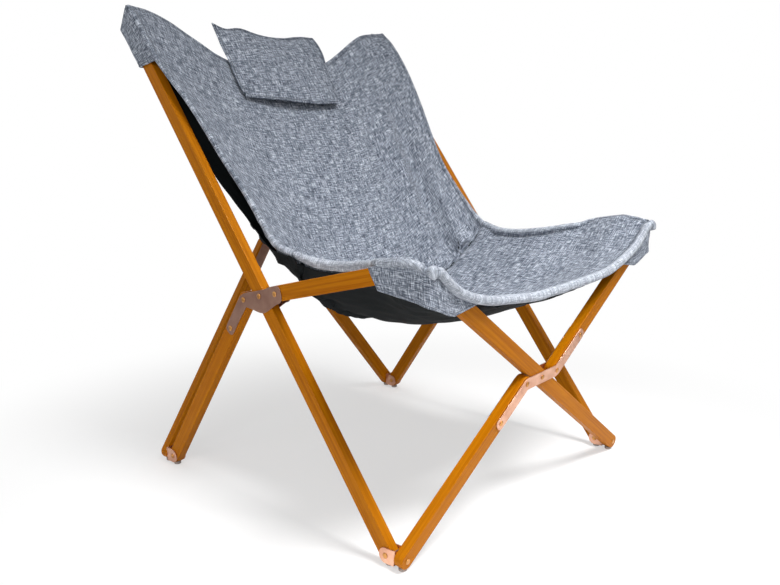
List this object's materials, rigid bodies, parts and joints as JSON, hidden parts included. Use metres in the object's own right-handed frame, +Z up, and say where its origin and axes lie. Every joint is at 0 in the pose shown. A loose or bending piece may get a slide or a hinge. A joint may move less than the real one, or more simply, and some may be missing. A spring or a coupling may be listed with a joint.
{
  "type": "folding sling chair",
  "caption": "Folding butterfly sling chair: crossed wooden bars with copper plates and foot brackets, a quilted grey fabric sling with corner pockets and a small head pillow.",
  "frame": {"origin": "on the floor, midway between the two sides and midway between the foremost and rearmost points", "axes": "+Z up, -Y the way the sitter faces, -X the sitter's right hand"},
  "size_m": [0.654, 0.7558, 0.8548],
  "materials": {
    "wood": "stained and varnished, satin",
    "copper": "copper-coloured plating, satin",
    "glide": "matt",
    "fabric": "grey melange weave"
  },
  "bodies": {
    "foot_rear_right": {"foot_bracket_rear_right": "copper", "foot_side_pin_rear_right": "copper", "foot_bar_pin_rear_right": "copper"},
    "rear_leg_right": {"rear_leg_right": "wood", "elbow_plate_outer_right": "copper", "elbow_plate_inner_right": "copper", "elbow_pin_right": "copper", "rail_pin_right": "copper", "glide_rear_leg_right": "glide"},
    "post_right": {"post_right": "wood", "glide_post_right": "glide", "pocket_back_right": "fabric"},
    "seat_rail_right": {"seat_rail_right": "wood", "pocket_seat_right": "fabric"},
    "foot_front_right": {"foot_bracket_front_right": "copper", "foot_side_pin_front_right": "copper", "foot_bar_pin_front_right": "copper"},
    "front_split_bar": {"front_bar_lower": "wood", "front_bar_upper": "wood", "front_plate_outer": "copper", "front_plate_inner": "copper", "front_crossing_pin": "copper", "glide_front_bar_right": "glide"},
    "front_through_bar": {"front_bar_through": "wood", "foot_bar_pin_front_left": "copper", "glide_front_bar_left": "glide"},
    "back_split_bar": {"back_bar_lower": "wood", "back_bar_upper": "wood", "back_plate_outer": "copper", "back_plate_inner": "copper", "back_crossing_pin": "copper", "glide_back_bar_right": "glide"},
    "back_through_bar": {"back_bar_through": "wood", "glide_back_bar_left": "glide"},
    "foot_rear_left": {"foot_bracket_rear_left": "copper", "foot_side_pin_rear_left": "copper", "foot_bar_pin_rear_left": "copper"},
    "rear_leg_left": {"rear_leg_left": "wood", "elbow_plate_outer_left": "copper", "elbow_plate_inner_left": "copper", "elbow_pin_left": "copper", "rail_pin_left": "copper", "glide_rear_leg_left": "glide"},
    "post_left": {"post_left": "wood", "glide_post_left": "glide", "pocket_back_left": "fabric"},
    "seat_rail_left": {"seat_rail_left": "wood", "pocket_seat_left": "fabric"},
    "foot_front_left": {"foot_bracket_front_left": "copper", "foot_side_pin_front_left": "copper"},
    "sling_back": {"sling_back": "fabric", "pillow": "fabric"},
    "sling_seat": {"sling_seat": "fabric"}
  },
  "joints": [
    {"name": "fold", "type": "hinge", "parent": "foot_rear_right", "child": "rear_leg_right", "pos_m": [-0.314, 0.2707, 0.018], "axis": [-1, 0, 0], "range_deg": [0, 35.7], "deforming": ["sling_back", "sling_seat", "pillow", "pocket_back_right", "pocket_back_left", "pocket_seat_right", "pocket_seat_left"]},
    {"name": "cross_right", "type": "hinge", "parent": "rear_leg_right", "child": "post_right", "pos_m": [-0.314, -0.0073, 0.374], "axis": [1, 0, 0], "range_deg": [0, 65.81]},
    {"name": "rail_right", "type": "hinge", "parent": "rear_leg_right", "child": "seat_rail_right", "pos_m": [-0.314, -0.04655, 0.38339], "axis": [1, 0, 0], "range_deg": [-41.1, 0]},
    {"name": "foot_hinge_front_right", "type": "hinge", "parent": "post_right", "child": "foot_front_right", "pos_m": [-0.314, -0.2853, 0.018], "axis": [1, 0, 0], "range_deg": [-37.91, 0]},
    {"name": "front_bar_hinge_right", "type": "hinge", "parent": "foot_front_right", "child": "front_split_bar", "pos_m": [-0.314, -0.31245, 0.018], "axis": [0, -0.9945, -0.1045], "range_deg": [0, 47.07]},
    {"name": "cross_front", "type": "hinge", "parent": "front_split_bar", "child": "front_through_bar", "pos_m": [0, -0.33513, 0.23381], "axis": [0, -0.9945, -0.1045], "range_deg": [-94.14, 0]},
    {"name": "back_bar_hinge_right", "type": "hinge", "parent": "foot_rear_right", "child": "back_split_bar", "pos_m": [-0.314, 0.29774, 0.018], "axis": [0, -0.9984, 0.0558], "range_deg": [0, 32.54]},
    {"name": "cross_back", "type": "hinge", "parent": "back_split_bar", "child": "back_through_bar", "pos_m": [0, 0.31951, 0.40739], "axis": [0, -0.9984, 0.0558], "range_deg": [-65.07, 0]},
    {"name": "back_bar_hinge_left", "type": "hinge", "parent": "back_through_bar", "child": "foot_rear_left", "pos_m": [0.314, 0.29774, 0.018], "axis": [0, -0.9984, 0.0558], "range_deg": [0, 32.54]},
    {"name": "foot_hinge_rear_left", "type": "hinge", "parent": "foot_rear_left", "child": "rear_leg_left", "pos_m": [0.314, 0.2707, 0.018], "axis": [-1, 0, 0], "range_deg": [0, 35.71]},
    {"name": "cross_left", "type": "hinge", "parent": "rear_leg_left", "child": "post_left", "pos_m": [0.314, -0.0073, 0.374], "axis": [1, 0, 0], "range_deg": [0, 65.81]},
    {"name": "rail_left", "type": "hinge", "parent": "rear_leg_left", "child": "seat_rail_left", "pos_m": [0.314, -0.04655, 0.38339], "axis": [1, 0, 0], "range_deg": [-41.1, 0]},
    {"name": "foot_hinge_front_left", "type": "hinge", "parent": "post_left", "child": "foot_front_left", "pos_m": [0.314, -0.2853, 0.018], "axis": [1, 0, 0], "range_deg": [-37.91, 0]},
    {"name": "sling_hang", "type": "hinge", "parent": "post_right", "child": "sling_back", "pos_m": [-0.314, 0.3376, 0.83842], "axis": [1, 0, 0], "range_deg": [-4.01, 0]},
    {"name": "sling_crease", "type": "hinge", "parent": "sling_back", "child": "sling_seat", "pos_m": [0, 0.00749, 0.30195], "axis": [1, 0, 0], "range_deg": [-87.61, 0]}
  ],
  "couplings": [
    {"joint": "cross_right", "follows": "fold", "ratio": 1.8432},
    {"joint": "rail_right", "follows": "fold", "ratio": -1.1509},
    {"joint": "foot_hinge_front_right", "follows": "fold", "ratio": -1.0616},
    {"joint": "front_bar_hinge_right", "follows": "fold", "ratio": 1.3182},
    {"joint": "cross_front", "follows": "fold", "ratio": -2.6364},
    {"joint": "back_bar_hinge_right", "follows": "fold", "ratio": 0.91112},
    {"joint": "cross_back", "follows": "fold", "ratio": -1.8222},
    {"joint": "back_bar_hinge_left", "follows": "fold", "ratio": 0.91112},
    {"joint": "foot_hinge_rear_left", "follows": "fold", "ratio": 1},
    {"joint": "cross_left", "follows": "fold", "ratio": 1.8432},
    {"joint": "rail_left", "follows": "fold", "ratio": -1.1509},
    {"joint": "foot_hinge_front_left", "follows": "fold", "ratio": -1.0616},
    {"joint": "sling_hang", "follows": "fold", "ratio": -0.11203},
    {"joint": "sling_crease", "follows": "fold", "ratio": -2.4537}
  ]
}
